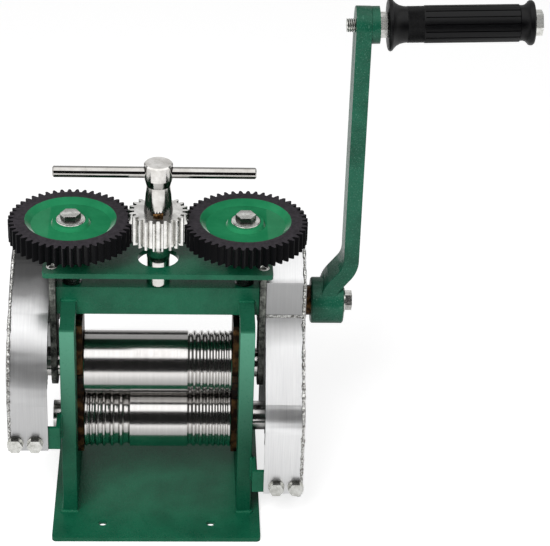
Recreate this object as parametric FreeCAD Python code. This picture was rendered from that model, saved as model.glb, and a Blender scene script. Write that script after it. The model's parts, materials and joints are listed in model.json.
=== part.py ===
import FreeCAD, Part
import math
import os

# Jewellers rolling mill. Millimetres, +Z up, +X towards the crank, -Y towards the user.
# The origin is the middle of the base plate's underside, below the roll axes.

# Base plate
base_thickness = 3.5
base_side_margin = 7.0
base_end_margin = 31.9
base_corner_radius = 3.0
mount_hole_spacing_x = 81.0
mount_hole_spacing_y = 114.0
mount_hole_radius = 3.25

# Side plates
side_thickness = 10.8
side_depth = 87.2
side_shoulder_rise = 5.0
side_peak_rise = 6.4

# Rolls
roll_length = 110.0
roll_diameter = 47.5
roll_gap = 0.35
roll_end_room = 4.8
roll_end_chamfer = 0.6
journal_diameter = 22.0
lower_roll_height = 63.1
groove_zone_right = 32.0
groove_zone_left = 33.6
groove_end_land = 1.5
right_groove_count = 7
left_groove_count = 6
right_groove_taper = 0.25
left_groove_taper = 0.37
groove_depth_ratio = 0.31
groove_width_ratio = 0.78
groove_floor_ratio = 0.2
groove_arc_steps = 6

# Bearing blocks
block_depth = 38.0
block_outer_step = 0.9
lower_block_below_axis = 20.6
lower_block_above_axis = 26.9
guide_rod_diameter = 3.2
guide_rod_spacing = 31.0
guide_rod_sink = 10.0

# Cross beam
beam_overhang = 3.4
beam_depth = 18.3
beam_height = 22.7
beam_above_axis = 46.85

# Lifting carriage
lift_travel = 4.0
top_plate_overhang = 4.4
top_plate_depth = 50.0
top_plate_thickness = 4.0
top_plate_gap = 16.3
top_plate_corner_radius = 2.5
spindle_hole_diameter = 29.8
strap_thickness = 4.4
strap_width = 34.0
strap_back_step = 1.0
strap_screw_spacing = 30.0
strap_screw_radius = 1.5
strap_screw_length = 12.0
strap_screw_head_radius = 4.0
strap_screw_head_height = 2.2
bush_wall = 3.0

# Screw adjustment
screw_offset = 8.0
adjust_gear_teeth = 48
adjust_pinion_teeth = 22
adjust_gear_thickness = 15.0
adjust_gear_spacer = 16.7
gear_web_recess = 4.0
gear_web_rim = 10.4
gear_boss_radius = 13.0
gear_boss_step = 1.2
screw_diameter = 14.0
screw_collar_radius = 11.0
screw_collar_height = 6.0
gear_bolt_size = 8.0
gear_bolt_head_height = 5.3
gear_bolt_washer_radius = 9.3
gear_bolt_washer_height = 1.8

# T handle
handle_length = 37.9
handle_head_radius = 10.4
handle_head_height = 11.5
handle_neck_radius = 8.6
handle_taper_height = 6.0
handle_top_chamfer = 1.0
handle_bar_drop = 7.7
handle_bar_length = 144.7
handle_bar_offset = -2.7
handle_bar_diameter = 8.2
handle_bar_chamfer = 0.8
spindle_radius = 8.5
pivot_pin_radius = 5.0
pivot_pin_height = 16.0
pivot_pin_sink = 12.0

# Crank shaft and roll drive
crank_shaft_setback = 11.0
crank_shaft_diameter = 14.0
drive_module = 3.0
drive_pinion_teeth = 24
drive_gear_teeth = 36
train_module = 1.5
train_pinion_teeth = 22
train_idler_teeth = 20
train_gear_teeth = 33
drive_width = 16.0
drive_gap = 4.8
idler_pin_radius = 5.0
retainer_radius = 9.5
retainer_rim = 3.0
retainer_height = 1.6
retainer_bolt_size = 8.0
retainer_head_height = 3.6

# Gear guards
guard_gap = 0.5
guard_width = 29.3
guard_sheet = 2.0
guard_gear_room = 3.0
guard_top_radius_left = 40.0
guard_top_room_right = 1.0
guard_bend_radius = 34.0
guard_bend_rise = 23.5
guard_panel_angle = 50.0
guard_step_rise = 39.0
guard_slope_angle = 30.0
guard_top_rise = 63.0
guard_back_slope = 22.0
guard_plate_room = 1.0
guard_foot_drop_left = 38.45
guard_foot_drop_right = 28.6
bracket_height = 18.5
bracket_leg = 3.0
bracket_return = 20.0
guard_bolt_size = 6.0
guard_bolt_head_height = 4.0
guard_bolt_washer_height = 1.2
guard_bolt_inset = 5.5
guard_bolt_spacing = 14.4
guard_bolt_rise = 6.5
crank_slot_margin = 0.8

# Crank
collar_radius = 11.4
collar_length = 5.6
hub_radius = 17.5
hub_length = 24.5
hub_chamfer = 1.0
hub_bolt_size = 8.0
hub_bolt_head_height = 5.3
hub_bolt_washer_rim = 1.2
hub_bolt_washer_height = 1.4
arm_thickness = 11.2
arm_width = 27.0
arm_foot_inset = 12.6
arm_offset = 15.8
arm_bend_low = 14.0
arm_bend_high = 34.0
arm_bend_radius = 14.0
crank_throw = 225.0

# Grip
grip_tilt = 1.7
grip_boss_radius = 13.3
grip_boss_length = 6.0
grip_nut_size = 10.0
grip_end_nut_height = 5.6
grip_pin_diameter = 10.0
grip_pin_tail = 6.0
grip_inner_nut_height = 5.3
grip_flange_radius = 18.8
grip_flange_length = 5.6
grip_neck_radius = 12.4
grip_neck_length = 6.2
grip_knurl_length = 14.0
grip_body_radius = 13.3
grip_body_length = 80.0
grip_end_neck_length = 3.8
grip_end_flange_radius = 15.9
grip_end_flange_length = 7.6
grip_flute_count = 16
grip_flute_radius = 1.1

# Clearances and fits
running_clearance = 0.05
screw_clearance = 0.09
sliding_clearance = 0.1
face_clearance = 0.3
bolt_clearance = 0.2
tooth_backlash = 0.07
drive_backlash = 0.2
pressure_angle = 20.0
dedendum_ratio = 1.25
hexagon_chamfer = 0.5

# Derived places along X
roll_half = roll_length / 2
journal_radius = journal_diameter / 2
side_inner = roll_half + roll_end_room
side_outer = side_inner + side_thickness
block_inner = roll_half + face_clearance
block_outer = side_outer + block_outer_step
beam_half_length = side_outer + beam_overhang
strap_inner = beam_half_length + face_clearance
strap_outer = strap_inner + strap_thickness
strap_middle = (strap_inner + strap_outer) / 2
top_plate_length = 2 * (strap_outer + top_plate_overhang)
base_length = 2 * (side_outer + base_side_margin)
base_depth = side_depth + 2 * base_end_margin
adjust_distance = roll_half + screw_offset
adjust_module = 2 * adjust_distance / (adjust_gear_teeth + adjust_pinion_teeth)
gear_web_radius = adjust_module * adjust_gear_teeth / 2 - gear_web_rim
drive_start = strap_outer + drive_gap
drive_end = drive_start + drive_width
guard_inner_face = strap_outer + guard_gap
guard_outer_face = guard_inner_face + guard_width
guard_cheek = guard_outer_face - guard_sheet
guard_bolt_outer = guard_outer_face - guard_bolt_inset
guard_bolt_inner = guard_bolt_outer - guard_bolt_spacing
hub_start = guard_outer_face + face_clearance + collar_length
hub_end = hub_start + hub_length
arm_foot_x = hub_start + arm_foot_inset
arm_x = arm_foot_x + arm_offset
arm_outer = arm_x + arm_thickness / 2

# Derived heights and depths
base_top = base_thickness
upper_roll_height = lower_roll_height + roll_diameter + roll_gap
lower_block_bottom = lower_roll_height - lower_block_below_axis
lower_block_top = lower_roll_height + lower_block_above_axis
beam_bottom = upper_roll_height + beam_above_axis
beam_top = beam_bottom + beam_height
side_top = beam_bottom + side_shoulder_rise
upper_block_top = beam_bottom - lift_travel - face_clearance
top_plate_bottom = beam_top + top_plate_gap
top_plate_top = top_plate_bottom + top_plate_thickness
adjust_gear_height = top_plate_top + adjust_gear_spacer
adjust_gear_top = adjust_gear_height + adjust_gear_thickness
pinion_top = adjust_gear_top + lift_travel + 2 * adjust_module
handle_top_height = pinion_top + handle_length
handle_head_bottom = handle_top_height - handle_head_height
handle_neck_height = handle_head_bottom - handle_taper_height
handle_bar_height = handle_top_height - handle_bar_drop
crank_shaft_radius = crank_shaft_diameter / 2
crank_shaft_y = block_depth / 2 + crank_shaft_setback
drive_distance = drive_module * (drive_pinion_teeth + drive_gear_teeth) / 2
crank_shaft_z = lower_roll_height + math.sqrt(drive_distance ** 2 - crank_shaft_y ** 2)
arm_top = crank_shaft_z + crank_throw
guard_radius = drive_module * (drive_gear_teeth + 2) / 2 + guard_gear_room + guard_sheet
guard_top_radius_right = (drive_module * (drive_pinion_teeth + 2) / 2 + lift_travel
                          + guard_top_room_right + guard_sheet)
guard_step_front = crank_shaft_y - guard_top_radius_right + lift_travel
guard_bend_height = lower_roll_height + guard_bend_rise
guard_foot_left = upper_roll_height - guard_foot_drop_left
guard_foot_right = lower_roll_height - guard_foot_drop_right
grip_start = grip_boss_length + grip_inner_nut_height + face_clearance


def point(x, y, z):
    return FreeCAD.Vector(x, y, z)


def block(x0, x1, y0, y1, z0, z1):
    return Part.makeBox(x1 - x0, y1 - y0, z1 - z0, point(x0, y0, z0))


def rod_x(x0, x1, y, z, radius):
    return Part.makeCylinder(radius, x1 - x0, point(x0, y, z), point(1, 0, 0))


def rod_y(y0, y1, x, z, radius):
    return Part.makeCylinder(radius, y1 - y0, point(x, y0, z), point(0, 1, 0))


def rod_z(z0, z1, x, y, radius):
    return Part.makeCylinder(radius, z1 - z0, point(x, y, z0), point(0, 0, 1))


def across_flats(size):
    """Across-flats width of a hexagon head, close to the standard one for its thread size."""
    return 1.5 * size + 1.0


def hexagon(size, height):
    """Hexagon head or nut along +Z from the origin, with its outer corners turned off."""
    corner = across_flats(size) / math.sqrt(3)
    corners = [point(corner * math.cos(math.radians(60 * i)), corner * math.sin(math.radians(60 * i)), 0)
               for i in range(6)]
    prism = Part.Face(Part.makePolygon(corners + corners[:1])).extrude(point(0, 0, height))
    turned = Part.makeCone(corner + height, corner - hexagon_chamfer, height + hexagon_chamfer)
    return prism.common(turned)


def along_x(shape):
    """Turn a shape built along +Z so that it lies along +X, with its own X towards +Y."""
    shape.rotate(point(0, 0, 0), point(1, 1, 1), 120)
    return shape


def mirrored(shape):
    return shape.mirror(point(0, 0, 0), point(1, 0, 0))


def side_of(shape, side):
    """The right-hand shape as it is, or its mirror image for the left side."""
    return shape if side > 0 else mirrored(shape)


def revolved(profile, axis_start, axis_direction):
    """Solid of revolution of a closed profile about an axis in its plane."""
    wire = Part.makePolygon(profile + profile[:1])
    return Part.Face(wire).revolve(axis_start, axis_direction, 360)


def involute(angle):
    return math.tan(angle) - angle


def tooth_flank(teeth, module, backlash):
    """Radius and half-angle pairs along one flank of a tooth, from its root to its tip."""
    pressure = math.radians(pressure_angle)
    pitch_radius = module * teeth / 2
    base_radius = pitch_radius * math.cos(pressure)
    root_radius = pitch_radius - dedendum_ratio * module
    tip_radius = pitch_radius + module
    start = max(root_radius, base_radius)
    half_tooth = math.pi / (2 * teeth) - backlash / pitch_radius + involute(pressure)
    steps = 4
    flank = []
    for i in range(steps + 1):
        radius = start + (tip_radius - start) * i / steps
        flank.append((radius, half_tooth - involute(math.acos(base_radius / radius))))
    if root_radius < start:
        flank.insert(0, (root_radius, flank[0][1]))
    return flank


def spur_gear(teeth, module, width, bore_radius, phase, backlash):
    """Involute spur gear along +Z from the origin, with a tooth centred at the phase angle."""
    flank = tooth_flank(teeth, module, backlash)
    outline = []
    for tooth in range(teeth):
        middle = phase + 2 * math.pi * tooth / teeth
        sides = [(radius, middle - half) for radius, half in flank]
        sides += [(radius, middle + half) for radius, half in reversed(flank)]
        outline += [point(radius * math.cos(angle), radius * math.sin(angle), 0) for radius, angle in sides]
    blank = Part.Face(Part.makePolygon(outline + outline[:1])).extrude(point(0, 0, width))
    return blank.cut(Part.makeCylinder(bore_radius, width))


def meshed_phase(direction, teeth, phase, mate_teeth):
    """Phase of a mating gear that lies in a direction from a gear of known phase."""
    turns = (direction - phase) * teeth / (2 * math.pi)
    return direction + math.pi - (0.5 - turns) * 2 * math.pi / mate_teeth


def two_circle_hull(y0, z0, r0, y1, z1, r1, x0, x1):
    """Plate between two X planes whose outline wraps two circles with straight tangents."""
    reach = math.hypot(y1 - y0, z1 - z0)
    heading = math.atan2(z1 - z0, y1 - y0)
    spread = math.acos((r0 - r1) / reach)

    def rim(y, z, radius, angle):
        return point(x0, y + radius * math.cos(angle), z + radius * math.sin(angle))

    far_a = rim(y1, z1, r1, heading + spread)
    far_b = rim(y1, z1, r1, heading - spread)
    near_a = rim(y0, z0, r0, heading + spread)
    near_b = rim(y0, z0, r0, heading - spread)
    edges = [Part.LineSegment(near_b, far_b).toShape(),
             Part.Arc(far_b, rim(y1, z1, r1, heading), far_a).toShape(),
             Part.LineSegment(far_a, near_a).toShape(),
             Part.Arc(near_a, rim(y0, z0, r0, heading + math.pi), near_b).toShape()]
    return Part.Face(Part.Wire(edges)).extrude(point(x1 - x0, 0, 0))


def rounded_slab(length, depth, z0, z1, radius):
    """Flat rectangular plate with its four upright corners rounded."""
    slab = block(-length / 2, length / 2, -depth / 2, depth / 2, z0, z1)
    upright = [edge for edge in slab.Edges if abs(edge.tangentAt(edge.FirstParameter).z) > 0.9]
    return slab.makeFillet(radius, upright)


def base_plate():
    plate = rounded_slab(base_length, base_depth, 0, base_top, base_corner_radius)
    for x in (-mount_hole_spacing_x / 2, mount_hole_spacing_x / 2):
        for y in (-mount_hole_spacing_y / 2, mount_hole_spacing_y / 2):
            plate = plate.cut(rod_z(0, base_top, x, y, mount_hole_radius))
    return plate


def side_plate(side):
    """Upright side plate, open at the top for the beam, with a window for the bearing blocks."""
    half = side_depth / 2
    beam_half = beam_depth / 2
    profile = [point(side_inner, -half, base_top), point(side_inner, half, base_top),
               point(side_inner, half, side_top), point(side_inner, beam_half, side_top + side_peak_rise),
               point(side_inner, -beam_half, side_top + side_peak_rise), point(side_inner, -half, side_top)]
    plate = Part.Face(Part.makePolygon(profile + profile[:1])).extrude(point(side_thickness, 0, 0))
    window_half = block_depth / 2 + sliding_clearance
    plate = plate.cut(block(side_inner, side_outer, -window_half, window_half,
                            lower_block_bottom, beam_bottom))
    plate = plate.cut(block(side_inner, side_outer, -beam_half, beam_half,
                            beam_bottom, side_top + side_peak_rise))
    slot_radius = crank_shaft_radius + crank_slot_margin
    slot = two_circle_hull(crank_shaft_y, crank_shaft_z, slot_radius,
                           crank_shaft_y, crank_shaft_z + lift_travel, slot_radius, side_inner, side_outer)
    return side_of(plate.cut(slot), side)


def cross_beam():
    beam = block(-beam_half_length, beam_half_length, -beam_depth / 2, beam_depth / 2,
                 beam_bottom, beam_top)
    for x in (-adjust_distance, adjust_distance):
        beam = beam.cut(rod_z(beam_bottom, beam_top, x, 0, screw_diameter / 2 + screw_clearance))
    return beam.cut(rod_z(beam_top - pivot_pin_sink, beam_top, 0, 0, pivot_pin_radius))


def spindle_pivot_pin():
    return rod_z(beam_top - pivot_pin_sink, beam_top + pivot_pin_height, 0, 0, pivot_pin_radius)


def guide_rod_places():
    half = guide_rod_spacing / 2
    return [(x, y) for x in (-adjust_distance, adjust_distance) for y in (-half, half)]


def bearing_block(side, bottom, top, axis_height, rod_radius, rod_bottom, rod_top):
    """Bronze block with a bore for a roll journal and holes for the guide rods."""
    body = block(block_inner, block_outer, -block_depth / 2, block_depth / 2, bottom, top)
    body = body.cut(rod_x(block_inner, block_outer, 0, axis_height, journal_radius + running_clearance))
    for y in (-guide_rod_spacing / 2, guide_rod_spacing / 2):
        body = body.cut(rod_z(rod_bottom, rod_top, adjust_distance, y, rod_radius))
    return side_of(body, side)


def lower_bearing(side):
    return bearing_block(side, lower_block_bottom, lower_block_top, lower_roll_height,
                         guide_rod_diameter / 2, lower_block_top - guide_rod_sink, lower_block_top)


def upper_bearing(side):
    """Saddle that presses on the top half of the upper journal and slides on the guide rods."""
    return bearing_block(side, upper_roll_height, upper_block_top, upper_roll_height,
                         guide_rod_diameter / 2 + sliding_clearance,
                         upper_roll_height, upper_roll_height + guide_rod_sink + lift_travel)


def lift_guide_rods():
    top = upper_roll_height + guide_rod_sink
    rods = [rod_z(lower_block_top - guide_rod_sink, top, x, y, guide_rod_diameter / 2)
            for x, y in guide_rod_places()]
    return Part.makeCompound(rods)


def groove_cells(width, count, taper):
    """Widths of a row of groove cells that shrink evenly and fill a zone."""
    return [width / count * (1 + taper * (count - 1 - 2 * i) / (count - 1)) for i in range(count)]


def round_groove(middle, half, depth, radius):
    """Points across a groove with an arc for its section."""
    bow = (half ** 2 + depth ** 2) / (2 * depth)
    reach = math.asin(half / bow)
    leans = [reach * (2 * i / groove_arc_steps - 1) for i in range(groove_arc_steps + 1)]
    return [point(middle + bow * math.sin(lean), 0, radius - depth + bow * (1 - math.cos(lean)))
            for lean in leans]


def vee_groove(middle, half, depth, floor, radius):
    return [point(middle - half, 0, radius), point(middle - floor, 0, radius - depth),
            point(middle + floor, 0, radius - depth), point(middle + half, 0, radius)]


def groove_points(start, cells, radius, rounded):
    """Points along the roll's surface across a row of cells, each with a groove in its middle."""
    points = []
    for cell in cells:
        middle = start + cell / 2
        half = cell * groove_width_ratio / 2
        depth = cell * groove_depth_ratio
        if rounded:
            points += round_groove(middle, half, depth, radius)
        else:
            points += vee_groove(middle, half, depth, cell * groove_floor_ratio / 2, radius)
        start += cell
    return points


def roll(axis_height, left_end, right_end, left_grooves):
    """Grooved roll with plain journals, turned in one piece."""
    radius = roll_diameter / 2
    profile = [point(left_end, 0, 0), point(left_end, 0, journal_radius),
               point(-roll_half, 0, journal_radius), point(-roll_half, 0, radius - roll_end_chamfer),
               point(-roll_half + roll_end_chamfer, 0, radius)]
    if left_grooves:
        cells = groove_cells(groove_zone_left, left_groove_count, left_groove_taper)
        profile += groove_points(groove_end_land - roll_half, cells[::-1], radius, True)
    cells = groove_cells(groove_zone_right, right_groove_count, right_groove_taper)
    profile += groove_points(roll_half - groove_end_land - groove_zone_right, cells, radius, False)
    profile += [point(roll_half - roll_end_chamfer, 0, radius),
                point(roll_half, 0, radius - roll_end_chamfer), point(roll_half, 0, journal_radius),
                point(right_end, 0, journal_radius), point(right_end, 0, 0)]
    solid = revolved(profile, point(0, 0, 0), point(1, 0, 0))
    solid.translate(point(0, 0, axis_height))
    return solid


def upper_roll():
    return roll(upper_roll_height, -drive_end, strap_outer + face_clearance, False)


def lower_roll():
    return roll(lower_roll_height, -strap_outer, drive_end, True)


def strap_outline_part(x0, x1):
    """Cheek that hangs from the top plate around the upper roll axis and the crank shaft."""
    half = strap_width / 2
    tongue = two_circle_hull(0, upper_roll_height, half, 0, top_plate_bottom, half, x0, x1)
    arm = half - strap_back_step
    back = two_circle_hull(crank_shaft_y, crank_shaft_z, arm, 0, top_plate_bottom - half, arm, x0, x1)
    shape = tongue.fuse(back)
    above = block(x0, x1, -top_plate_depth, top_plate_depth, top_plate_bottom, top_plate_top + strap_width)
    return shape.cut(above).removeSplitter()


def strap(side):
    shape = strap_outline_part(strap_inner, strap_outer)
    shape = shape.cut(rod_x(strap_inner, strap_outer, 0, upper_roll_height,
                            journal_radius + running_clearance))
    shape = shape.cut(rod_x(strap_inner, strap_outer, crank_shaft_y, crank_shaft_z, bush_radius()))
    if side < 0:
        y, z = idler_place()
        shape = shape.cut(rod_x(strap_inner, strap_outer, y, z, idler_pin_radius))
    for y in (-strap_screw_spacing / 2, strap_screw_spacing / 2):
        shape = shape.cut(rod_z(top_plate_top - strap_screw_length, top_plate_bottom,
                                strap_middle, y, strap_screw_radius))
    return side_of(shape, side)


def bush_radius():
    return crank_shaft_radius + bush_wall


def crank_bush(side):
    bush = rod_x(strap_inner, strap_outer, crank_shaft_y, crank_shaft_z, bush_radius())
    bore = rod_x(strap_inner, strap_outer, crank_shaft_y, crank_shaft_z,
                 crank_shaft_radius + running_clearance)
    return side_of(bush.cut(bore), side)


def top_plate():
    plate = rounded_slab(top_plate_length, top_plate_depth, top_plate_bottom, top_plate_top,
                         top_plate_corner_radius)
    plate = plate.cut(rod_z(top_plate_bottom, top_plate_top, 0, 0, spindle_hole_diameter / 2))
    for side in (-1, 1):
        plate = plate.cut(rod_z(top_plate_bottom, top_plate_top, side * adjust_distance, 0,
                                screw_diameter / 2 + screw_clearance))
        for y in (-strap_screw_spacing / 2, strap_screw_spacing / 2):
            plate = plate.cut(strap_screw(side * strap_middle, y))
    return plate


def strap_screw(x, y):
    head_bottom = top_plate_top - strap_screw_head_height
    head = Part.makeCone(strap_screw_radius, strap_screw_head_radius, strap_screw_head_height,
                         point(x, y, head_bottom), point(0, 0, 1))
    return head.fuse(rod_z(top_plate_top - strap_screw_length, head_bottom, x, y, strap_screw_radius))


def strap_screws():
    return Part.makeCompound([strap_screw(side * strap_middle, y) for side in (-1, 1)
                              for y in (-strap_screw_spacing / 2, strap_screw_spacing / 2)])


def adjusting_pinion():
    gear = spur_gear(adjust_pinion_teeth, adjust_module, pinion_top - adjust_gear_height,
                     spindle_radius, 0, tooth_backlash)
    gear.translate(point(0, 0, adjust_gear_height))
    return gear


def adjusting_gear(side):
    """Spur gear with a dished web and a raised boss, on its adjusting screw."""
    direction = 0 if side > 0 else math.pi
    phase = meshed_phase(direction, adjust_pinion_teeth, 0, adjust_gear_teeth)
    gear = spur_gear(adjust_gear_teeth, adjust_module, adjust_gear_thickness, screw_diameter / 2,
                     phase, tooth_backlash)
    recess_floor = adjust_gear_thickness - gear_web_recess
    dish = Part.makeCone(gear_web_radius - gear_web_recess, gear_web_radius, gear_web_recess,
                         point(0, 0, recess_floor))
    boss = Part.makeCone(gear_boss_radius + gear_boss_step, gear_boss_radius,
                         gear_web_recess - gear_boss_step, point(0, 0, recess_floor))
    gear = gear.cut(dish.cut(boss))
    gear.translate(point(side * adjust_distance, 0, adjust_gear_height))
    return gear


def adjusting_screw(side):
    top = adjust_gear_top - gear_boss_step
    return rod_z(upper_block_top + face_clearance, top, side * adjust_distance, 0, screw_diameter / 2)


def screw_collars(side):
    """Spacer under the gear and collar under the top plate, which trap the plate between them."""
    x = side * adjust_distance
    spacer = rod_z(top_plate_top + face_clearance, adjust_gear_height, x, 0, gear_boss_radius)
    low_top = top_plate_bottom - face_clearance
    collar = rod_z(low_top - screw_collar_height, low_top, x, 0, screw_collar_radius)
    hole = rod_z(beam_top, adjust_gear_top, x, 0, screw_diameter / 2)
    return Part.makeCompound([spacer.cut(hole), collar.cut(hole)])


def gear_bolt(side):
    """Washer and hexagon head that clamp the gear on its screw."""
    floor = adjust_gear_top - gear_boss_step
    washer = Part.makeCylinder(gear_bolt_washer_radius, gear_bolt_washer_height)
    head = hexagon(gear_bolt_size, gear_bolt_head_height)
    head.translate(point(0, 0, gear_bolt_washer_height))
    bolt = washer.fuse(head)
    bolt.translate(point(side * adjust_distance, 0, floor))
    return bolt


def handle_spindle():
    """T-handle head, neck and spindle turned in one piece, with a blind pivot hole below."""
    foot = beam_top + face_clearance
    profile = [point(0, 0, foot), point(spindle_radius, 0, foot), point(spindle_radius, 0, pinion_top),
               point(handle_head_radius, 0, pinion_top), point(handle_neck_radius, 0, handle_neck_height),
               point(handle_head_radius, 0, handle_head_bottom),
               point(handle_head_radius, 0, handle_top_height - handle_top_chamfer),
               point(handle_head_radius - handle_top_chamfer, 0, handle_top_height),
               point(0, 0, handle_top_height)]
    spindle = revolved(profile, point(0, 0, 0), point(0, 0, 1))
    hole_top = beam_top + pivot_pin_height + face_clearance
    spindle = spindle.cut(rod_z(foot, hole_top, 0, 0, pivot_pin_radius + running_clearance))
    bar_hole = rod_x(-handle_head_radius, handle_head_radius, 0, handle_bar_height, handle_bar_diameter / 2)
    return spindle.cut(bar_hole)


def handle_bar():
    middle = handle_bar_offset
    bar = rod_x(middle - handle_bar_length / 2, middle + handle_bar_length / 2, 0,
                handle_bar_height, handle_bar_diameter / 2)
    rims = [edge for edge in bar.Edges if edge.Closed and len(edge.Vertexes) == 1
            and isinstance(edge.Curve, Part.Circle)]
    return bar.makeChamfer(handle_bar_chamfer, rims)


def idler_place():
    """Centre of the idler, in mesh with the crank pinion and the upper roll's gear."""
    near = train_module * (train_gear_teeth + train_idler_teeth) / 2
    far = train_module * (train_pinion_teeth + train_idler_teeth) / 2
    rise = crank_shaft_z - upper_roll_height
    reach = math.hypot(crank_shaft_y, rise)
    along = (near ** 2 - far ** 2 + reach ** 2) / (2 * reach)
    out = math.sqrt(near ** 2 - along ** 2)
    y = (crank_shaft_y * along - rise * out) / reach
    z = upper_roll_height + (rise * along + crank_shaft_y * out) / reach
    return y, z


def bearing_of(y0, z0, y1, z1):
    return math.atan2(z1 - z0, y1 - y0)


def placed_gear(teeth, module, bore_radius, phase, backlash, x, y, z):
    gear = along_x(spur_gear(teeth, module, drive_width, bore_radius, phase, backlash))
    gear.translate(point(x, y, z))
    return gear


def crank_pinion_right():
    return placed_gear(drive_pinion_teeth, drive_module, crank_shaft_radius, 0, drive_backlash,
                       drive_start, crank_shaft_y, crank_shaft_z)


def lower_roll_gear():
    direction = bearing_of(crank_shaft_y, crank_shaft_z, 0, lower_roll_height)
    phase = meshed_phase(direction, drive_pinion_teeth, 0, drive_gear_teeth)
    return placed_gear(drive_gear_teeth, drive_module, journal_radius, phase, drive_backlash,
                       drive_start, 0, lower_roll_height)


def crank_pinion_left():
    return placed_gear(train_pinion_teeth, train_module, crank_shaft_radius, 0, tooth_backlash,
                       -drive_end, crank_shaft_y, crank_shaft_z)


def idler_phase():
    y, z = idler_place()
    direction = bearing_of(crank_shaft_y, crank_shaft_z, y, z)
    return meshed_phase(direction, train_pinion_teeth, 0, train_idler_teeth)


def idler_gear():
    y, z = idler_place()
    return placed_gear(train_idler_teeth, train_module, idler_pin_radius + running_clearance, idler_phase(),
                       tooth_backlash, -drive_end, y, z)


def upper_roll_gear():
    y, z = idler_place()
    direction = bearing_of(y, z, 0, upper_roll_height)
    phase = meshed_phase(direction, train_idler_teeth, idler_phase(), train_gear_teeth)
    return placed_gear(train_gear_teeth, train_module, journal_radius, phase, tooth_backlash,
                       -drive_end, 0, upper_roll_height)


def idler_pin():
    """Pin riveted in the left strap, with a head that keeps the idler on it."""
    y, z = idler_place()
    head_start = -drive_end - face_clearance
    pin = rod_x(head_start, -strap_inner, y, z, idler_pin_radius)
    return pin.fuse(rod_x(head_start - retainer_height, head_start, y, z, retainer_radius))


def retainer(y, z, side, radius):
    """Washer and hexagon head on the end of a geared shaft."""
    washer = Part.makeCylinder(radius, retainer_height)
    head = hexagon(retainer_bolt_size, retainer_head_height)
    head.translate(point(0, 0, retainer_height))
    shape = along_x(washer.fuse(head))
    shape.translate(point(drive_end, 0, 0))
    shape = side_of(shape, side)
    shape.translate(point(0, y, z))
    return shape


def stepped_outline(shrink, x0, x1):
    """Filled side view of the right guard: a bent front with a stepped housing above it."""
    panel = math.radians(guard_panel_angle)
    bend_y = guard_bend_radius - guard_radius

    def on_bend(lean):
        return point(x0, bend_y - guard_bend_radius * math.sin(lean),
                     guard_bend_height + guard_bend_radius * math.cos(lean))

    bend_start = on_bend(math.pi / 2)
    bend_end = on_bend(panel)
    step_foot = bend_end.z + (guard_step_front - bend_end.y) * math.tan(panel)
    step_top = crank_shaft_z + guard_step_rise
    top = crank_shaft_z + guard_top_rise
    slope_end = guard_step_front + (top - step_top) / math.tan(math.radians(guard_slope_angle))
    back = crank_shaft_y + guard_top_radius_right
    bottom = lower_roll_height - guard_radius
    corners = [(guard_step_front, step_foot), (guard_step_front, step_top), (slope_end, top),
               (back - guard_back_slope, top), (back, top - guard_back_slope), (back, crank_shaft_z),
               (guard_radius, lower_roll_height), (guard_radius, bottom), (-guard_radius, bottom)]
    places = [bend_end] + [point(x0, y, z) for y, z in corners] + [bend_start]
    edges = [Part.Arc(bend_start, on_bend((panel + math.pi / 2) / 2), bend_end).toShape(),
             *Part.makePolygon(places).Edges]
    wire = Part.Wire(edges)
    if shrink:
        wire = wire.makeOffset2D(-shrink, join=2)   # its corners stay sharp
    return Part.Face(wire).extrude(point(x1 - x0, 0, 0))


def guard_inside(side, shrink):
    """Filled outline of a gear guard, smaller all round by a shrink."""
    low_height = upper_roll_height if side < 0 else lower_roll_height
    foot = guard_foot_left if side < 0 else guard_foot_right
    radius = guard_radius - shrink
    x0 = guard_inner_face
    x1 = guard_outer_face - shrink
    if side > 0:
        filled = stepped_outline(shrink, x0, x1)
    else:
        hull = two_circle_hull(0, low_height, radius, crank_shaft_y, crank_shaft_z,
                               guard_top_radius_left - shrink, x0, x1)
        filled = hull.fuse(block(x0, x1, -radius, radius, foot, low_height))
    below = block(x0, x1, -2 * guard_radius, 2 * guard_radius, low_height - guard_radius, foot)
    return filled.cut(below).removeSplitter()


def plate_notch():
    """Room in the right guard for the end of the top plate as it lifts."""
    end = top_plate_length / 2 + guard_plate_room
    reach = top_plate_depth / 2 + guard_plate_room
    return block(guard_inner_face, end, -reach, reach, top_plate_bottom - guard_plate_room,
                 crank_shaft_z + guard_top_rise)


def gear_guard(side):
    """Sheet band around a gear train with a welded outer cheek, open inwards and below."""
    shell = guard_inside(side, 0).cut(guard_inside(side, guard_sheet))
    if side > 0:
        drum = rod_x(guard_cheek, guard_outer_face, 0, lower_roll_height, guard_radius)
        below = block(guard_cheek, guard_outer_face, -guard_radius, guard_radius,
                      lower_roll_height - guard_radius, guard_foot_right)
        cheek = stepped_outline(0, guard_cheek, guard_outer_face).cut(below)
        shell = shell.fuse([cheek, drum]).removeSplitter().cut(plate_notch())
        radius = crank_shaft_radius + crank_slot_margin
        shell = shell.cut(two_circle_hull(crank_shaft_y, crank_shaft_z, radius,
                                          crank_shaft_y, crank_shaft_z + lift_travel, radius,
                                          guard_cheek, guard_outer_face))
    for x in (guard_bolt_inner, guard_bolt_outer):
        shell = shell.cut(rod_y(-guard_radius, -guard_radius + guard_sheet, x, guard_bolt_height(side),
                                guard_bolt_size / 2 + bolt_clearance))
    return side_of(shell, side)


def guard_bolt_height(side):
    foot = guard_foot_left if side < 0 else guard_foot_right
    return foot + guard_bolt_rise


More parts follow.
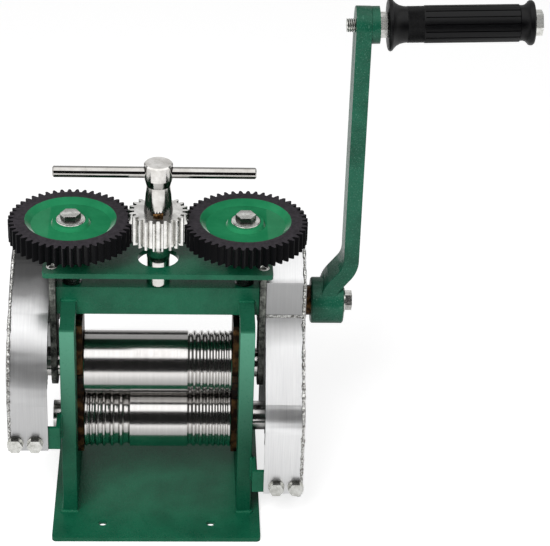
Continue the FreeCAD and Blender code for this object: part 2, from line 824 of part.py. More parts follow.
def guard_bracket(side):
    """Angle bracket welded to the side plate, with a leg behind the guard's front flange."""
    foot = guard_foot_left if side < 0 else guard_foot_right
    front = -guard_radius + guard_sheet
    leg = block(side_outer, guard_cheek, front, front + bracket_leg, foot, foot + bracket_height)
    wing = block(side_outer, side_outer + bracket_leg, front, front + bracket_return,
                 foot, foot + bracket_height)
    bracket = leg.fuse(wing).removeSplitter()
    for x in (guard_bolt_inner, guard_bolt_outer):
        bracket = bracket.cut(rod_y(front, front + bracket_leg, x, guard_bolt_height(side),
                                    guard_bolt_size / 2))
    return side_of(bracket, side)


def guard_bolt(x, z):
    """Hexagon bolt with a washer, from the guard's front flange into its bracket."""
    washer = Part.makeCylinder(guard_bolt_size, guard_bolt_washer_height)
    head = hexagon(guard_bolt_size, guard_bolt_head_height)
    head.translate(point(0, 0, guard_bolt_washer_height))
    bolt = washer.fuse(head)
    bolt.rotate(point(0, 0, 0), point(1, 0, 0), 90)
    bolt.translate(point(x, -guard_radius, z))
    shank = rod_y(-guard_radius, -guard_radius + guard_sheet + bracket_leg, x, z, guard_bolt_size / 2)
    return bolt.fuse(shank)


def guard_bolts(side):
    bolts = [guard_bolt(side * x, guard_bolt_height(side)) for x in (guard_bolt_inner, guard_bolt_outer)]
    return Part.makeCompound(bolts)


def crank_shaft():
    return rod_x(-drive_end, hub_end, crank_shaft_y, crank_shaft_z, crank_shaft_radius)


def crank_collar():
    start = guard_outer_face + face_clearance
    collar = rod_x(start, hub_start, crank_shaft_y, crank_shaft_z, collar_radius)
    return collar.cut(rod_x(start, hub_start, crank_shaft_y, crank_shaft_z, crank_shaft_radius))


def hub_blank():
    hub = rod_x(hub_start, hub_end, crank_shaft_y, crank_shaft_z, hub_radius)
    rims = [edge for edge in hub.Edges if isinstance(edge.Curve, Part.Circle)]
    return hub.makeChamfer(hub_chamfer, rims)


def crank_hub():
    return hub_blank().cut(rod_x(hub_start, hub_end, crank_shaft_y, crank_shaft_z, crank_shaft_radius))


def hub_bolt():
    """Retaining bolt and washer in the end of the crank shaft."""
    washer = Part.makeCylinder(hub_bolt_size + hub_bolt_washer_rim, hub_bolt_washer_height)
    head = hexagon(hub_bolt_size, hub_bolt_head_height)
    head.translate(point(0, 0, hub_bolt_washer_height))
    shape = along_x(washer.fuse(head))
    shape.translate(point(hub_end, crank_shaft_y, crank_shaft_z))
    return shape


def arm_slab():
    """Side view of the cranked arm, swept through its width."""
    half = arm_thickness / 2
    low = crank_shaft_z + arm_bend_low
    high = crank_shaft_z + arm_bend_high
    turn = math.atan2(arm_x - arm_foot_x, high - low)
    shift = half * math.tan(turn / 2)
    top = arm_top + arm_width / 2
    outline = [(arm_foot_x - half, crank_shaft_z), (arm_foot_x - half, low + shift),
               (arm_x - half, high + shift), (arm_x - half, top), (arm_x + half, top),
               (arm_x + half, high - shift), (arm_foot_x + half, low - shift),
               (arm_foot_x + half, crank_shaft_z)]
    start = crank_shaft_y - arm_width / 2
    corners = [point(x, start, z) for x, z in outline]
    slab = Part.Face(Part.makePolygon(corners + corners[:1])).extrude(point(0, arm_width, 0))

    def bends(places):
        middles = [point(x, crank_shaft_y, z) for x, z in places]
        return [edge for edge in slab.Edges
                if any(edge.CenterOfMass.isEqual(middle, face_clearance) for middle in middles)]

    slab = slab.makeFillet(arm_bend_radius, bends([outline[2], outline[6]]))
    return slab.makeFillet(arm_bend_radius + arm_thickness, bends([outline[1], outline[5]]))


def crank_arm():
    rounded = two_circle_hull(crank_shaft_y, crank_shaft_z, arm_width / 2, crank_shaft_y, arm_top,
                              arm_width / 2, hub_start, arm_outer)
    arm = arm_slab().common(rounded).cut(hub_blank())
    hole = along_grip(Part.makeCylinder(grip_pin_diameter / 2, 6 * arm_thickness,
                                        point(0, 0, -3 * arm_thickness)))
    return arm.cut(hole)


def along_grip(shape):
    """Place a shape built along +Z on the tilted grip axis, from the arm's outer face."""
    shape = along_x(shape)
    shape.rotate(point(0, 0, 0), point(0, 1, 0), -grip_tilt)
    shape.translate(point(arm_outer, crank_shaft_y, arm_top))
    return shape


def grip_boss():
    """Boss on the arm's outer face that squares the grip pin."""
    boss = Part.makeCylinder(grip_boss_radius, grip_boss_length)
    boss = boss.cut(Part.makeCylinder(grip_pin_diameter / 2, grip_boss_length))
    boss = along_grip(boss)
    return boss.cut(block(0, arm_outer, -arm_width, 3 * arm_width, arm_top - arm_width, arm_top + arm_width))


def grip_length():
    lengths = [grip_flange_length, grip_neck_length, grip_body_length, grip_end_neck_length,
               grip_end_flange_length]
    return sum(lengths)


def grip_pin():
    """Threaded pin through the arm, the nut and the grip."""
    start = -arm_thickness - grip_pin_tail
    end = grip_start + grip_length() + face_clearance
    return along_grip(Part.makeCylinder(grip_pin_diameter / 2, end - start, point(0, 0, start)))


def grip_inner_nut():
    nut = hexagon(grip_nut_size, grip_inner_nut_height)
    nut = nut.cut(Part.makeCylinder(grip_pin_diameter / 2, grip_inner_nut_height))
    nut.translate(point(0, 0, grip_boss_length))
    return along_grip(nut)


def grip_end_nut():
    nut = hexagon(grip_nut_size, grip_end_nut_height)
    nut.translate(point(0, 0, grip_start + grip_length() + face_clearance))
    return along_grip(nut)


def grip():
    """Rubber grip with a flange at each end and long flutes, free to spin on its pin."""
    steps = [(grip_flange_radius, grip_flange_length), (grip_neck_radius, grip_neck_length),
             (grip_body_radius, grip_body_length), (grip_neck_radius, grip_end_neck_length),
             (grip_end_flange_radius, grip_end_flange_length)]
    place = grip_start
    sections = []
    for radius, length in steps:
        sections.append(Part.makeCylinder(radius, length, point(0, 0, place)))
        place += length
    body = sections[0].multiFuse(sections[1:])
    flute_start = grip_start + grip_flange_length + grip_neck_length + grip_knurl_length
    flute_end = place - grip_end_flange_length - grip_end_neck_length
    flute = Part.makeCylinder(grip_flute_radius, flute_end - flute_start,
                              point(grip_body_radius, 0, flute_start))
    flutes = []
    for i in range(grip_flute_count):
        turned = flute.copy()
        turned.rotate(point(0, 0, 0), point(0, 0, 1), 360 * i / grip_flute_count)
        flutes.append(turned)
    body = body.cut(Part.makeCompound(flutes))
    body = body.cut(Part.makeCylinder(grip_pin_diameter / 2 + running_clearance, grip_length(),
                                      point(0, 0, grip_start)))
    return along_grip(body)


def nodes():
    parts = {
        "base_plate": base_plate(),
        "side_plate_left": side_plate(-1),
        "side_plate_right": side_plate(1),
        "cross_beam": cross_beam(),
        "spindle_pivot_pin": spindle_pivot_pin(),
        "lower_bearing_left": lower_bearing(-1),
        "lower_bearing_right": lower_bearing(1),
        "lift_guide_rods": lift_guide_rods(),
        "gear_guard_left": gear_guard(-1),
        "gear_guard_right": gear_guard(1),
        "guard_bracket_left": guard_bracket(-1),
        "guard_bracket_right": guard_bracket(1),
        "guard_bolts_left": guard_bolts(-1),
        "guard_bolts_right": guard_bolts(1),
        "top_plate": top_plate(),
        "strap_left": strap(-1),
        "strap_right": strap(1),
        "strap_screws": strap_screws(),
        "crank_bush_left": crank_bush(-1),
        "crank_bush_right": crank_bush(1),
        "upper_bearing_left": upper_bearing(-1),
        "upper_bearing_right": upper_bearing(1),
        "idler_pin": idler_pin(),
        "handle_spindle": handle_spindle(),
        "handle_bar": handle_bar(),
        "adjusting_pinion": adjusting_pinion(),
        "upper_roll": upper_roll(),
        "upper_roll_gear": upper_roll_gear(),
        "upper_roll_retainer": retainer(0, upper_roll_height, -1, journal_radius + retainer_rim),
        "lower_roll": lower_roll(),
        "lower_roll_gear": lower_roll_gear(),
        "lower_roll_retainer": retainer(0, lower_roll_height, 1, journal_radius + retainer_rim),
        "idler_gear": idler_gear(),
        "crank_shaft": crank_shaft(),
        "crank_pinion_left": crank_pinion_left(),
        "crank_pinion_right": crank_pinion_right(),
        "crank_shaft_retainer": retainer(crank_shaft_y, crank_shaft_z, -1, retainer_radius),
        "crank_collar": crank_collar(),
        "crank_hub": crank_hub(),
        "crank_hub_bolt": hub_bolt(),
        "crank_arm": crank_arm(),
        "grip_boss": grip_boss(),
        "grip_pin": grip_pin(),
        "grip_inner_nut": grip_inner_nut(),
        "grip_end_nut": grip_end_nut(),
        "grip": grip(),
    }
    for side, name in ((-1, "left"), (1, "right")):
        parts["adjusting_gear_" + name] = adjusting_gear(side)
        parts["adjusting_screw_" + name] = adjusting_screw(side)
        parts["screw_collars_" + name] = screw_collars(side)
        parts["gear_bolt_" + name] = gear_bolt(side)
    return parts


os.makedirs("parts", exist_ok=True)
for node, shape in nodes().items():
    shape.exportStep("parts/" + node + ".step")
    print(node, len(shape.Solids), round(shape.Volume, 1), shape.isValid())
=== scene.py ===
import json
import math

import bmesh
import bpy
from mathutils import Matrix, Vector, noise


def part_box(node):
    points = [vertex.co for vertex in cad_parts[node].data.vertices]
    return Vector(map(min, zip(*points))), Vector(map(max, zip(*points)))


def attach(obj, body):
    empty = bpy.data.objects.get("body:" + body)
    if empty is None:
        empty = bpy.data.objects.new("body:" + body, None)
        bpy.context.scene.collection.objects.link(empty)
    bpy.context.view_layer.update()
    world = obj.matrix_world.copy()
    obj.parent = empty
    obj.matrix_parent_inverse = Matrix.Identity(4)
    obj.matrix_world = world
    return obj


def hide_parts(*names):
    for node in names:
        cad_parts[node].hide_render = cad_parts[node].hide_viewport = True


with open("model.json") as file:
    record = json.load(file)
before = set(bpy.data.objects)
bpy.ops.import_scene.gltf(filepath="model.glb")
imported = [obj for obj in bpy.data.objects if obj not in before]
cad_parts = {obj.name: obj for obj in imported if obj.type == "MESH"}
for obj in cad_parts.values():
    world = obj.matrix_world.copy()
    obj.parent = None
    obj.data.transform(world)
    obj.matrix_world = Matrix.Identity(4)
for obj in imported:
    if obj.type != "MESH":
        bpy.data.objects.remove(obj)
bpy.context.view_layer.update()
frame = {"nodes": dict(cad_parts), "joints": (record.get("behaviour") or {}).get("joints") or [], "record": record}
nodes = frame["nodes"]
joints = {joint["name"]: joint for joint in frame["joints"]}
bpy.ops.object.select_all(action="DESELECT")
print("frame loaded:", len(nodes), "nodes")

mm = 0.001
sides = (("left", -1), ("right", 1))
hair = 0.01 * mm            # places closer than this count as one
seamGap = 0.002 * mm        # mesh points closer than this are joined
squareOn = 0.99             # share of a face's normal from which it counts as facing that way

view = {
    "place": (14.8 * mm, -1300.5 * mm, 941.6 * mm),
    "lookDown": 30.04,      # degrees below level
    "lookRight": 3.11,
    "roll": 2.03,
    "lens": 134.35,
    "sensor": 36,
}


def addCamera():
    bpy.ops.object.camera_add(location=view["place"])
    camera = bpy.context.object
    turn = (Matrix.Rotation(math.radians(-view["lookRight"]), 4, "Z")
            @ Matrix.Rotation(math.radians(90 - view["lookDown"]), 4, "X")
            @ Matrix.Rotation(math.radians(view["roll"]), 4, "Z"))
    camera.matrix_world = Matrix.Translation(view["place"]) @ turn
    camera.data.lens = view["lens"]
    camera.data.sensor_width = view["sensor"]
    camera.data.clip_start = 0.01
    bpy.context.scene.camera = camera


studio = {
    "skyLevel": 0.26,       # light from all round on matte surfaces
    # what metal sees, by degrees from straight up towards the front
    "cards": ((-180, 0.4), (-70, 0.4), (-65, 0.9), (-57, 0.9), (-50, 0.42), (-30, 0.42), (-22, 1.62),
              (46, 1.62), (50, 0.11), (91, 0.11), (94, 0.5), (180, 0.5)),
    "firstDepth": 2,        # ray depth of the sky in a first reflection
    "secondLook": 0.15,     # how much of the cards is left in a reflection of a reflection
    "keyPower": 11.0,
    "keyPlace": (-0.3, -0.75, 0.9),
    "keySize": 0.6,
    "fillPower": 3.0,
    "fillPlace": (1.0, -0.8, 0.7),
    "fillSize": 0.8,
}


# gives a colour ramp its greys, from pairs of position and linear level
def fillRamp(ramp, greys):
    stops = ramp.color_ramp.elements
    for position, level in greys[1:-1]:
        stops.new(position).color = (level, level, level, 1)
    for stop, (_, level) in ((stops[0], greys[0]), (stops[-1], greys[-1])):
        stop.color = (level, level, level, 1)


def addWorld():
    world = bpy.data.worlds.new("paleStudio")
    bpy.context.scene.world = world
    world.use_nodes = True
    tree = world.node_tree
    link = tree.links.new
    place = tree.nodes.new("ShaderNodeTexCoord")
    axes = tree.nodes.new("ShaderNodeSeparateXYZ")
    link(place.outputs["Generated"], axes.inputs[0])
    ahead = tree.nodes.new("ShaderNodeMath")
    ahead.operation = "MULTIPLY"
    ahead.inputs[1].default_value = -1
    link(axes.outputs["Y"], ahead.inputs[0])
    angle = tree.nodes.new("ShaderNodeMath")
    angle.operation = "ARCTAN2"
    link(ahead.outputs[0], angle.inputs[0])
    link(axes.outputs["Z"], angle.inputs[1])
    share = tree.nodes.new("ShaderNodeMapRange")
    share.inputs["From Min"].default_value = -math.pi
    share.inputs["From Max"].default_value = math.pi
    link(angle.outputs[0], share.inputs["Value"])
    ring = tree.nodes.new("ShaderNodeValToRGB")
    fillRamp(ring, [((degrees + 180) / 360, level) for degrees, level in studio["cards"]])
    link(share.outputs["Result"], ring.inputs["Fac"])
    path = tree.nodes.new("ShaderNodeLightPath")
    glossy = tree.nodes.new("ShaderNodeMix")
    glossy.data_type = "RGBA"
    glossy.inputs[6].default_value = [studio["skyLevel"]] * 3 + [1]
    link(path.outputs["Is Glossy Ray"], glossy.inputs["Factor"])
    left = tree.nodes.new("ShaderNodeMapRange")
    left.inputs["From Min"].default_value = studio["firstDepth"]
    left.inputs["From Max"].default_value = studio["firstDepth"] + 1
    left.inputs["To Min"].default_value = 1
    left.inputs["To Max"].default_value = studio["secondLook"]
    link(path.outputs["Ray Depth"], left.inputs["Value"])
    seenCards = tree.nodes.new("ShaderNodeVectorMath")
    seenCards.operation = "SCALE"
    link(ring.outputs["Color"], seenCards.inputs[0])
    link(left.outputs["Result"], seenCards.inputs["Scale"])
    link(seenCards.outputs["Vector"], glossy.inputs[7])
    seen = tree.nodes.new("ShaderNodeMath")
    seen.operation = "MAXIMUM"
    link(path.outputs["Is Camera Ray"], seen.inputs[0])
    link(path.outputs["Is Transmission Ray"], seen.inputs[1])
    final = tree.nodes.new("ShaderNodeMix")
    final.data_type = "RGBA"
    final.inputs[7].default_value = (1, 1, 1, 1)
    link(seen.outputs[0], final.inputs["Factor"])
    link(glossy.outputs[2], final.inputs[6])
    link(final.outputs[2], tree.nodes["Background"].inputs["Color"])


def addLamp(name, place, size, power):
    bpy.ops.object.light_add(type="AREA", location=place)
    lamp = bpy.context.object
    lamp.name = name
    lamp.data.size = size
    lamp.data.energy = power
    lamp.visible_glossy = False     # metal sees the cards instead
    lamp.visible_camera = False
    aim = Vector((0.03, 0, 0.15)) - Vector(place)
    lamp.rotation_euler = aim.to_track_quat("-Z", "Y").to_euler()


addCamera()
addWorld()
addLamp("keyLamp", studio["keyPlace"], studio["keySize"], studio["keyPower"])
addLamp("fillLamp", studio["fillPlace"], studio["fillSize"], studio["fillPower"])
bpy.context.scene.view_settings.view_transform = "Standard"
print("camera and lamps set")


# a screen colour out of 255, as the linear colour that a shader takes
def tone(red, green, blue):
    parts = []
    for value in (red, green, blue):
        share = value / 255
        parts.append(share / 12.92 if share <= 0.04045 else ((share + 0.055) / 1.055) ** 2.4)
    return (*parts, 1.0)


# a material being built, with the nodes that the finishes here need
class Finish:
    def __init__(self, name, metallic, roughness):
        self.material = bpy.data.materials.new(name)
        self.material.use_nodes = True
        self.tree = self.material.node_tree
        self.shader = self.tree.nodes["Principled BSDF"]
        self.shader.inputs["Metallic"].default_value = metallic
        self.shader.inputs["Roughness"].default_value = roughness
        self.place = self.tree.nodes.new("ShaderNodeTexCoord").outputs["Object"]

    def link(self, source, target):
        self.tree.links.new(source, target)

    def stretched(self, scale, centre=(0, 0, 0)):
        mapping = self.tree.nodes.new("ShaderNodeMapping")
        mapping.inputs["Scale"].default_value = scale
        mapping.inputs["Location"].default_value = [-c * s for c, s in zip(centre, scale)]
        self.link(self.place, mapping.inputs["Vector"])
        return mapping.outputs["Vector"]

    def axes(self, vector=None):
        split = self.tree.nodes.new("ShaderNodeSeparateXYZ")
        self.link(vector or self.place, split.inputs[0])
        return split.outputs

    def noise(self, scale, detail=4, roughness=0.6, vector=None):
        cloud = self.tree.nodes.new("ShaderNodeTexNoise")
        cloud.inputs["Scale"].default_value = scale
        cloud.inputs["Detail"].default_value = detail
        cloud.inputs["Roughness"].default_value = roughness
        self.link(vector or self.place, cloud.inputs["Vector"])
        return cloud.outputs["Fac"]

    def ranged(self, value, low, high, toLow=0.0, toHigh=1.0):
        spread = self.tree.nodes.new("ShaderNodeMapRange")
        spread.inputs["From Min"].default_value = low
        spread.inputs["From Max"].default_value = high
        spread.inputs["To Min"].default_value = toLow
        spread.inputs["To Max"].default_value = toHigh
        self.link(value, spread.inputs["Value"])
        return spread.outputs["Result"]

    def maths(self, operation, first, second):
        node = self.tree.nodes.new("ShaderNodeMath")
        node.operation = operation
        for socket, value in zip(node.inputs, (first, second)):
            if isinstance(value, (int, float)):
                socket.default_value = value
            else:
                self.link(value, socket)
        return node.outputs[0]

    def blended(self, factor, first, second):
        mix = self.tree.nodes.new("ShaderNodeMix")
        mix.data_type = "RGBA"
        self.link(factor, mix.inputs["Factor"])
        for socket, value in ((mix.inputs[6], first), (mix.inputs[7], second)):
            if isinstance(value, tuple):
                socket.default_value = value
            else:
                self.link(value, socket)
        return mix.outputs[2]

    def colour(self, value):
        self.link(value, self.shader.inputs["Base Color"])

    def rough(self, value):
        self.link(value, self.shader.inputs["Roughness"])

    def gloss(self, level):
        self.shader.inputs["Specular IOR Level"].default_value = level

    def bump(self, height, distance, strength=1.0):
        relief = self.tree.nodes.new("ShaderNodeBump")
        relief.inputs["Distance"].default_value = distance
        relief.inputs["Strength"].default_value = strength
        self.link(height, relief.inputs["Height"])
        self.link(relief.outputs["Normal"], self.shader.inputs["Normal"])


floorShape = {
    "size": 12.0,
    "drop": 0.0002,
    "pale": (0.6, 0.6, 0.6, 1),
    "glow": 0.74,           # only where the camera sees the floor itself
    "shine": 0.58,          # what metal sees of it: a painted reflection glow, fading to none near the mill as painted shade, and rising to all further out
    "shineFrom": 0.06,
    "shineTo": 0.32,
}


def addFloor():
    bpy.ops.mesh.primitive_plane_add(size=floorShape["size"], location=(0, 0, -floorShape["drop"]))
    floor = bpy.context.object
    floor.name = "floor"
    finish = Finish("paleFloor", 0.0, 0.9)
    finish.shader.inputs["Base Color"].default_value = floorShape["pale"]
    finish.gloss(0.1)
    finish.shader.inputs["Emission Color"].default_value = (1, 1, 1, 1)
    reach = finish.tree.nodes.new("ShaderNodeVectorMath")
    reach.operation = "LENGTH"
    finish.link(finish.place, reach.inputs[0])
    away = finish.ranged(reach.outputs["Value"], floorShape["shineFrom"], floorShape["shineTo"], 0,
                         floorShape["shine"])
    path = finish.tree.nodes.new("ShaderNodeLightPath").outputs
    seen = finish.maths("MAXIMUM", path["Is Camera Ray"], path["Is Transmission Ray"])
    glow = finish.maths("MULTIPLY", seen, floorShape["glow"])
    shine = finish.maths("MULTIPLY", path["Is Glossy Ray"], away)
    finish.link(finish.maths("ADD", glow, shine), finish.shader.inputs["Emission Strength"])
    floor.data.materials.append(finish.material)


addFloor()


# cards that only metal and gloss see, with the middle and size of each in metres: a dark one before the mill,
# and two in place of the gears, which no reflection shows
gearCard = {"size": (0.057, 0.084), "tilt": 0, "tone": (16, 48, 32)}
cards = {
    "frontCard": {"middle": (0, -1.1, 0.595), "size": (3.0, 1.19), "tilt": 90, "tone": (20, 20, 20)},
    "leftGearCard": {"middle": (-0.0505, 0, 0.2322), **gearCard},
    "rightGearCard": {"middle": (0.0505, 0, 0.2322), **gearCard},
}


def addCard(name):
    card = cards[name]
    bpy.ops.mesh.primitive_plane_add(size=1, location=card["middle"],
                                     rotation=(math.radians(card["tilt"]), 0, 0))
    sheet = bpy.context.object
    sheet.name = name
    sheet.scale = (*card["size"], 1)
    for rays in ("visible_camera", "visible_diffuse", "visible_transmission", "visible_shadow"):
        setattr(sheet, rays, False)
    finish = Finish(name, 0.0, 0.9)
    finish.shader.inputs["Base Color"].default_value = tone(*card["tone"])
    sheet.data.materials.append(finish.material)


for name in cards:
    addCard(name)
print("floor and cards placed")


# gloss enamel with an orange-peel surface and fine pale flecks; given a sheen table, it also gets a painted sheen
# that turns it paler with height up to a shoulder, standing in for light falling stronger higher up
def hammeredPaint(name, tones, fleck, peelDepth, bloom=None):
    base, light, deep = tones
    finish = Finish(name, 0.0, 0.3)
    broad = finish.noise(38, 4, 0.6)
    peel = finish.noise(520, 3, 0.55)
    flecks = finish.ranged(finish.noise(900, 2, 0.7), 0.58, 0.72, 0.0, fleck)
    ground = finish.blended(finish.ranged(broad, 0.35, 0.68), base, deep)
    # painted sheen: the paint turns paler with height and stops just above the shoulder
    if bloom:
        height = finish.axes()["Z"]
        sway = bloom["sway"] * mm
        uneven = finish.maths("ADD", height, finish.ranged(broad, 0, 1, -sway, sway))
        sheenMask = finish.ranged(uneven, bloom["from"] * mm, bloom["to"] * mm)
        shoulder = bloom["shoulder"] * mm
        under = finish.ranged(height, shoulder, shoulder + 1 * mm, 1, 0.1)
        ground = finish.blended(finish.maths("MULTIPLY", sheenMask, under), ground, bloom["tone"])
    finish.colour(finish.blended(flecks, ground, light))
    finish.rough(finish.ranged(peel, 0.3, 0.7, 0.24, 0.4))
    finish.bump(peel, peelDepth, 0.6)
    finish.gloss(0.25)
    return finish.material


# pale sheet steel with faint upright brush lines and a few dull stains, with painted shade and painted reflection
# bands set by height
def brushedSheet(name, roughness, greys):
    finish = Finish(name, 0.95, roughness)
    lines = finish.noise(1.0, 5, 0.7, finish.stretched((1600, 30, 22)))
    cloud = finish.noise(30, 4, 0.6)
    stain = finish.noise(24, 5, 0.62)
    uneven = finish.maths("ADD", finish.axes()["Z"], finish.ranged(cloud, 0, 1, -3 * mm, 3 * mm))
    heightShadeRamp = finish.tree.nodes.new("ShaderNodeValToRGB")
    top = greys[-1][0]
    fillRamp(heightShadeRamp, [(height / top, tone(grey, grey, grey)[0]) for height, grey in greys])
    finish.link(finish.ranged(uneven, 0, top * mm), heightShadeRamp.inputs["Fac"])
    brushed = finish.tree.nodes.new("ShaderNodeMix")
    brushed.data_type = "RGBA"
    brushed.blend_type = "MULTIPLY"
    brushed.inputs["Factor"].default_value = 1
    finish.link(heightShadeRamp.outputs["Color"], brushed.inputs[6])
    finish.link(finish.blended(finish.ranged(lines, 0.3, 0.7), tone(236, 236, 237), tone(255, 255, 255)),
                brushed.inputs[7])
    finish.colour(finish.blended(finish.ranged(stain, 0.62, 0.78, 0.0, 0.3), brushed.outputs[2],
                                 tone(120, 120, 118)))
    ground = finish.ranged(cloud, 0.3, 0.7, roughness - 0.05, roughness + 0.05)
    finish.rough(finish.maths("ADD", ground, finish.ranged(lines, 0.3, 0.7, -0.03, 0.04)))
    finish.bump(lines, 0.00003, 0.4)
    return finish.material


# ground and polished roll steel, with faint rings around it and thin oil marks
def groundRoll(name):
    finish = Finish(name, 1.0, 0.14)
    rings = finish.noise(1.0, 4, 0.65, finish.stretched((1900, 6, 6)))
    oil = finish.noise(38, 5, 0.6)
    steel = finish.blended(finish.ranged(rings, 0.3, 0.7), tone(200, 198, 196), tone(218, 216, 214))
    finish.colour(finish.blended(finish.ranged(oil, 0.58, 0.8, 0.0, 0.35), steel, tone(140, 134, 128)))
    finish.rough(finish.ranged(rings, 0.2, 0.8, 0.14, 0.21))
    finish.bump(rings, 0.00001, 0.4)
    return finish.material


# turned steel with cutting marks, dull patches and a little rust
def turnedSteel(name, pale, dark, rust, roughness):
    finish = Finish(name, 1.0, roughness)
    marks = finish.noise(1.0, 4, 0.6, finish.stretched((160, 160, 2200)))
    patch = finish.noise(120, 5, 0.65)
    bloom = finish.ranged(finish.noise(75, 6, 0.7), 0.64, 0.74, 0.0, rust)
    metal = finish.blended(finish.ranged(patch, 0.35, 0.7), pale, dark)
    finish.colour(finish.blended(bloom, metal, tone(122, 84, 56)))
    finish.rough(finish.ranged(patch, 0.3, 0.7, roughness - 0.05, roughness + 0.1))
    finish.bump(marks, 0.00002, 0.4)
    return finish.material


# bright zinc on small fasteners, slightly mottled
def zincPlate(name):
    finish = Finish(name, 1.0, 0.28)
    mottle = finish.noise(320, 4, 0.6)
    finish.colour(finish.blended(finish.ranged(mottle, 0.35, 0.7), tone(236, 236, 232), tone(190, 190, 184)))
    finish.rough(finish.ranged(mottle, 0.3, 0.7, 0.2, 0.36))
    finish.bump(mottle, 0.00005, 0.4)
    return finish.material


# dark oiled bronze with golden rubbed places
def oiledBronze(name):
    finish = Finish(name, 1.0, 0.36)
    cloud = finish.noise(140, 5, 0.65)
    finish.colour(finish.blended(finish.ranged(cloud, 0.46, 0.75), tone(30, 22, 18), tone(120, 88, 54)))
    finish.rough(finish.ranged(cloud, 0.3, 0.7, 0.28, 0.5))
    finish.bump(cloud, 0.00008, 0.5)
    return finish.material


# black toothed rim around a green web, split at the web's edge; the rim is grey on up-facing faces and near black
# on its sides, a painted shade set by facing
def gearTwoTone(name, centreX, webRadius):
    finish = Finish(name, 0.0, 0.4)
    axes = finish.axes(finish.stretched((1, 1, 1), (centreX, 0, 0)))
    across = finish.maths("MULTIPLY", axes["X"], axes["X"])
    along = finish.maths("MULTIPLY", axes["Y"], axes["Y"])
    reach = finish.maths("SQRT", finish.maths("ADD", across, along), 0)
    grain = finish.noise(380, 3, 0.6)
    soft = 0.2 * mm
    wobble = finish.maths("MULTIPLY", finish.ranged(grain, 0.3, 0.7, -1, 1), soft)
    rim = finish.ranged(finish.maths("ADD", reach, wobble), webRadius - soft, webRadius + soft)
    upFacingGrey = finish.blended(finish.ranged(grain, 0.35, 0.7), tone(42, 39, 43), tone(60, 56, 61))
    facing = finish.axes(finish.tree.nodes.new("ShaderNodeNewGeometry").outputs["Normal"])
    black = finish.blended(finish.ranged(facing["Z"], 0.3, 0.8), tone(6, 6, 8), upFacingGrey)
    sweep = finish.ranged(finish.noise(60, 3), 0.35, 0.7)
    green = finish.blended(sweep, tone(34, 126, 82), tone(44, 138, 92))
    finish.colour(finish.blended(rim, green, black))
    finish.rough(finish.ranged(rim, 0, 1, 0.18, 0.42))
    finish.bump(grain, 0.00008, 0.3)
    finish.gloss(0.05)
    return finish.material


# mottled hot rolled strip, grey with darker scale
def hotRolled(name):
    finish = Finish(name, 0.8, 0.45)
    scale = finish.noise(260, 6, 0.7)
    finish.colour(finish.blended(finish.ranged(scale, 0.36, 0.62), tone(128, 130, 124), tone(44, 46, 44)))
    finish.rough(finish.ranged(scale, 0.3, 0.7, 0.34, 0.6))
    finish.bump(scale, 0.0001, 0.5)
    return finish.material


# moulded black rubber with a faint grain
def gripRubber(name):
    finish = Finish(name, 0.0, 0.4)
    grain = finish.noise(900, 3, 0.6)
    finish.colour(finish.blended(finish.ranged(grain, 0.3, 0.7), tone(3, 3, 4), tone(7, 7, 8)))
    finish.rough(finish.ranged(grain, 0.3, 0.7, 0.32, 0.48))
    finish.bump(grain, 0.00005, 0.4)
    finish.gloss(0.2)
    return finish.material


# spattered weld metal, from bright to burnt
def weldMetal(name, pale, burnt):
    finish = Finish(name, 0.9, 0.4)
    spatter = finish.noise(700, 4, 0.7)
    finish.colour(finish.blended(finish.ranged(spatter, 0.42, 0.6), pale, burnt))
    finish.rough(finish.ranged(spatter, 0.3, 0.7, 0.25, 0.6))
    finish.bump(spatter, 0.0002, 0.6)
    return finish.material


paintTones = {
    "frame": (tone(24, 100, 72), tone(84, 146, 120), tone(14, 82, 58)),
    "crank": (tone(26, 92, 70), tone(116, 166, 146), tone(16, 70, 52)),
    # the plates' green is a darker copy of the frame paint, painted shade on the plates' lower faces, which the
    # painted sheen lightens higher up
    "plates": (tone(16, 84, 60), tone(84, 146, 120), tone(10, 70, 49)),
}
# heights in mm over which a painted sheen turns the side plates paler, standing in for light falling stronger
# higher up, how far it sways, and the shoulder above which it stops
plateSheen = {"from": 66, "to": 156, "sway": 12, "shoulder": 162.4, "tone": tone(84, 148, 122)}
finishes = {
    "green_paint": hammeredPaint("greenHammered", paintTones["frame"], 0.15, 0.00016),
    "crank_paint": hammeredPaint("crankGreen", paintTones["crank"], 0.4, 0.0003),
    "roll_steel": groundRoll("rollSteel"),
    "bronze": oiledBronze("oiledBronze"),
    "handle_steel": turnedSteel("handleSteel", tone(220, 218, 215), tone(188, 185, 180), 0.2, 0.09),
    "pinion_steel": turnedSteel("pinionZinc", tone(238, 237, 234), tone(206, 205, 202), 0.1, 0.22),
    "train_steel": turnedSteel("trainSteel", tone(130, 130, 130), tone(84, 84, 84), 0.3, 0.36),
    "grip_rubber": gripRubber("gripRubber"),
    "fastener_zinc": zincPlate("zincPlate"),
    "strap_steel": hotRolled("strapSteel"),
    "shaft_steel": turnedSteel("shaftSteel", tone(150, 150, 150), tone(96, 96, 96), 0.2, 0.3),
}
